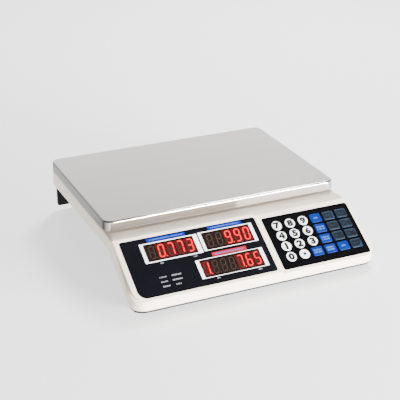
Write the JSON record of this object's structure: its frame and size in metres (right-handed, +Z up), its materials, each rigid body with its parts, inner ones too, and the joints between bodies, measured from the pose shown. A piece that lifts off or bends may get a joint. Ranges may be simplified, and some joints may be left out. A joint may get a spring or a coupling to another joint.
{
  "type": "retail price scale",
  "caption": "Counter-top price scale with a stainless pan over a load cell, a sloped console with LED windows and a keypad, levelling feet and a customer display.",
  "frame": {"origin": "on the counter, under the middle of the scale's box", "axes": "+X to the seller's right along the console, +Y away from the seller towards the customer, +Z up"},
  "size_m": [0.3492, 0.354, 0.084],
  "materials": {
    "housing_cream": "fine satin texture, warm off-white",
    "base_plastic": "satin black",
    "black_plastic": "gloss black",
    "window_smoke": "smoked dark red-brown, glossy",
    "led_module": "dark red epoxy face",
    "circuit_board": "green solder mask",
    "key_white": "satin white",
    "key_blue": "satin vivid blue",
    "key_slate": "satin slate blue-grey",
    "pan_steel": "brushed satin stainless",
    "bolt_steel": "zinc-plated",
    "cast_aluminium": "as cast",
    "cell_aluminium": "machined, clear anodised",
    "plate_steel": "grey primer",
    "pad_rubber": "matt black",
    "battery_case": "matt dark grey",
    "cable_grey": "matt grey sheath",
    "wire_red": "satin red insulation"
  },
  "bodies": {
    "base": {"base_pan": "base_plastic", "battery_hatch": "base_plastic", "upper_housing": "housing_cream", "rear_panel": "black_plastic", "keypad_panel": "black_plastic", "power_switch_frame": "black_plastic", "power_inlet": "black_plastic", "rear_window": "window_smoke", "display_window": "window_smoke", "digit_modules": "led_module", "rear_display_module": "led_module", "display_board": "circuit_board", "keypad_board": "circuit_board", "main_board": "circuit_board", "load_cell": "cell_aluminium", "base_plate": "plate_steel", "frame_bolts": "bolt_steel", "overload_stop": "bolt_steel", "case_screws": "bolt_steel", "battery": "battery_case", "load_cell_cable": "cable_grey", "battery_leads": "wire_red"},
    "carrier": {"load_spider": "cast_aluminium", "spider_bolts": "bolt_steel", "platter_pads": "pad_rubber"},
    "platter": {"platter": "pan_steel"},
    "switch_rocker": {"power_switch_rocker": "black_plastic"},
    "key_7": {"key_7": "key_white"},
    "key_8": {"key_8": "key_white"},
    "key_9": {"key_9": "key_white"},
    "key_clear": {"key_clear": "key_blue"},
    "key_m1": {"key_m1": "key_slate"},
    "key_m2": {"key_m2": "key_slate"},
    "key_4": {"key_4": "key_white"},
    "key_5": {"key_5": "key_white"},
    "key_6": {"key_6": "key_white"},
    "key_tare": {"key_tare": "key_blue"},
    "key_m3": {"key_m3": "key_slate"},
    "key_m4": {"key_m4": "key_slate"},
    "key_1": {"key_1": "key_white"},
    "key_2": {"key_2": "key_white"},
    "key_3": {"key_3": "key_white"},
    "key_zero": {"key_zero": "key_blue"},
    "key_m5": {"key_m5": "key_slate"},
    "key_m6": {"key_m6": "key_slate"},
    "key_0": {"key_0": "key_white"},
    "key_point": {"key_point": "key_white"},
    "key_add": {"key_add": "key_blue"},
    "key_change": {"key_change": "key_blue"},
    "key_accumulate": {"key_accumulate": "key_blue"},
    "key_m7": {"key_m7": "key_slate"},
    "foot_front_left": {"foot_pad_front_left": "pad_rubber"},
    "screw_front_left": {"foot_screw_front_left": "bolt_steel"},
    "foot_front_right": {"foot_pad_front_right": "pad_rubber"},
    "screw_front_right": {"foot_screw_front_right": "bolt_steel"},
    "foot_rear_left": {"foot_pad_rear_left": "pad_rubber"},
    "screw_rear_left": {"foot_screw_rear_left": "bolt_steel"},
    "foot_rear_right": {"foot_pad_rear_right": "pad_rubber"},
    "screw_rear_right": {"foot_screw_rear_right": "bolt_steel"}
  },
  "joints": [
    {"name": "weighing", "type": "slide", "parent": "base", "child": "carrier", "axis": [0, 0, 1], "range_m": [-0.0005, 0], "stiffness_N_per_m": 600000, "deforming": ["load_cell"]},
    {"name": "pan_lift_off", "type": "slide", "parent": "carrier", "child": "platter", "axis": [0, 0, 1], "range_m": [0, 0.05]},
    {"name": "power_rocker", "type": "hinge", "parent": "base", "child": "switch_rocker", "pos_m": [0.125, 0.03, 0.029], "axis": [0, 0, 1], "range_deg": [0, 18]},
    {"name": "press_7", "type": "slide", "parent": "base", "child": "key_7", "axis": [0, 0.515, -0.8572], "range_m": [0, 0.0005], "stiffness_N_per_m": 3000, "springref_m": -0.0002},
    {"name": "press_8", "type": "slide", "parent": "base", "child": "key_8", "axis": [0, 0.515, -0.8572], "range_m": [0, 0.0005], "stiffness_N_per_m": 3000, "springref_m": -0.0002},
    {"name": "press_9", "type": "slide", "parent": "base", "child": "key_9", "axis": [0, 0.515, -0.8572], "range_m": [0, 0.0005], "stiffness_N_per_m": 3000, "springref_m": -0.0002},
    {"name": "press_clear", "type": "slide", "parent": "base", "child": "key_clear", "axis": [0, 0.515, -0.8572], "range_m": [0, 0.0005], "stiffness_N_per_m": 3000, "springref_m": -0.0002},
    {"name": "press_m1", "type": "slide", "parent": "base", "child": "key_m1", "axis": [0, 0.515, -0.8572], "range_m": [0, 0.0005], "stiffness_N_per_m": 3000, "springref_m": -0.0002},
    {"name": "press_m2", "type": "slide", "parent": "base", "child": "key_m2", "axis": [0, 0.515, -0.8572], "range_m": [0, 0.0005], "stiffness_N_per_m": 3000, "springref_m": -0.0002},
    {"name": "press_4", "type": "slide", "parent": "base", "child": "key_4", "axis": [0, 0.515, -0.8572], "range_m": [0, 0.0005], "stiffness_N_per_m": 3000, "springref_m": -0.0002},
    {"name": "press_5", "type": "slide", "parent": "base", "child": "key_5", "axis": [0, 0.515, -0.8572], "range_m": [0, 0.0005], "stiffness_N_per_m": 3000, "springref_m": -0.0002},
    {"name": "press_6", "type": "slide", "parent": "base", "child": "key_6", "axis": [0, 0.515, -0.8572], "range_m": [0, 0.0005], "stiffness_N_per_m": 3000, "springref_m": -0.0002},
    {"name": "press_tare", "type": "slide", "parent": "base", "child": "key_tare", "axis": [0, 0.515, -0.8572], "range_m": [0, 0.0005], "stiffness_N_per_m": 3000, "springref_m": -0.0002},
    {"name": "press_m3", "type": "slide", "parent": "base", "child": "key_m3", "axis": [0, 0.515, -0.8572], "range_m": [0, 0.0005], "stiffness_N_per_m": 3000, "springref_m": -0.0002},
    {"name": "press_m4", "type": "slide", "parent": "base", "child": "key_m4", "axis": [0, 0.515, -0.8572], "range_m": [0, 0.0005], "stiffness_N_per_m": 3000, "springref_m": -0.0002},
    {"name": "press_1", "type": "slide", "parent": "base", "child": "key_1", "axis": [0, 0.515, -0.8572], "range_m": [0, 0.0005], "stiffness_N_per_m": 3000, "springref_m": -0.0002},
    {"name": "press_2", "type": "slide", "parent": "base", "child": "key_2", "axis": [0, 0.515, -0.8572], "range_m": [0, 0.0005], "stiffness_N_per_m": 3000, "springref_m": -0.0002},
    {"name": "press_3", "type": "slide", "parent": "base", "child": "key_3", "axis": [0, 0.515, -0.8572], "range_m": [0, 0.0005], "stiffness_N_per_m": 3000, "springref_m": -0.0002},
    {"name": "press_zero", "type": "slide", "parent": "base", "child": "key_zero", "axis": [0, 0.515, -0.8572], "range_m": [0, 0.0005], "stiffness_N_per_m": 3000, "springref_m": -0.0002},
    {"name": "press_m5", "type": "slide", "parent": "base", "child": "key_m5", "axis": [0, 0.515, -0.8572], "range_m": [0, 0.0005], "stiffness_N_per_m": 3000, "springref_m": -0.0002},
    {"name": "press_m6", "type": "slide", "parent": "base", "child": "key_m6", "axis": [0, 0.515, -0.8572], "range_m": [0, 0.0005], "stiffness_N_per_m": 3000, "springref_m": -0.0002},
    {"name": "press_0", "type": "slide", "parent": "base", "child": "key_0", "axis": [0, 0.515, -0.8572], "range_m": [0, 0.0005], "stiffness_N_per_m": 3000, "springref_m": -0.0002},
    {"name": "press_point", "type": "slide", "parent": "base", "child": "key_point", "axis": [0, 0.515, -0.8572], "range_m": [0, 0.0005], "stiffness_N_per_m": 3000, "springref_m": -0.0002},
    {"name": "press_add", "type": "slide", "parent": "base", "child": "key_add", "axis": [0, 0.515, -0.8572], "range_m": [0, 0.0005], "stiffness_N_per_m": 3000, "springref_m": -0.0002},
    {"name": "press_change", "type": "slide", "parent": "base", "child": "key_change", "axis": [0, 0.515, -0.8572], "range_m": [0, 0.0005], "stiffness_N_per_m": 3000, "springref_m": -0.0002},
    {"name": "press_accumulate", "type": "slide", "parent": "base", "child": "key_accumulate", "axis": [0, 0.515, -0.8572], "range_m": [0, 0.0005], "stiffness_N_per_m": 3000, "springref_m": -0.0002},
    {"name": "press_m7", "type": "slide", "parent": "base", "child": "key_m7", "axis": [0, 0.515, -0.8572], "range_m": [0, 0.0005], "stiffness_N_per_m": 3000, "springref_m": -0.0002},
    {"name": "level_front_left", "type": "slide", "parent": "base", "child": "foot_front_left", "axis": [0, 0, 1], "range_m": [-0.006, 0]},
    {"name": "turn_front_left", "type": "hinge", "parent": "foot_front_left", "child": "screw_front_left", "pos_m": [-0.15, -0.15, 0.003], "axis": [0, 0, 1], "range_deg": [-1730, 0]},
    {"name": "level_front_right", "type": "slide", "parent": "base", "child": "foot_front_right", "axis": [0, 0, 1], "range_m": [-0.006, 0]},
    {"name": "turn_front_right", "type": "hinge", "parent": "foot_front_right", "child": "screw_front_right", "pos_m": [0.15, -0.15, 0.003], "axis": [0, 0, 1], "range_deg": [-1730, 0]},
    {"name": "level_rear_left", "type": "slide", "parent": "base", "child": "foot_rear_left", "axis": [0, 0, 1], "range_m": [-0.006, 0]},
    {"name": "turn_rear_left", "type": "hinge", "parent": "foot_rear_left", "child": "screw_rear_left", "pos_m": [-0.112, 0.138, 0.003], "axis": [0, 0, 1], "range_deg": [-1730, 0]},
    {"name": "level_rear_right", "type": "slide", "parent": "base", "child": "foot_rear_right", "axis": [0, 0, 1], "range_m": [-0.006, 0]},
    {"name": "turn_rear_right", "type": "hinge", "parent": "foot_rear_right", "child": "screw_rear_right", "pos_m": [0.112, 0.138, 0.003], "axis": [0, 0, 1], "range_deg": [-1730, 0]}
  ],
  "couplings": [
    {"joint": "turn_front_left", "follows": "level_front_left", "rad_per_m": 5026.5},
    {"joint": "turn_front_right", "follows": "level_front_right", "rad_per_m": 5026.5},
    {"joint": "turn_rear_left", "follows": "level_rear_left", "rad_per_m": 5026.5},
    {"joint": "turn_rear_right", "follows": "level_rear_right", "rad_per_m": 5026.5}
  ]
}
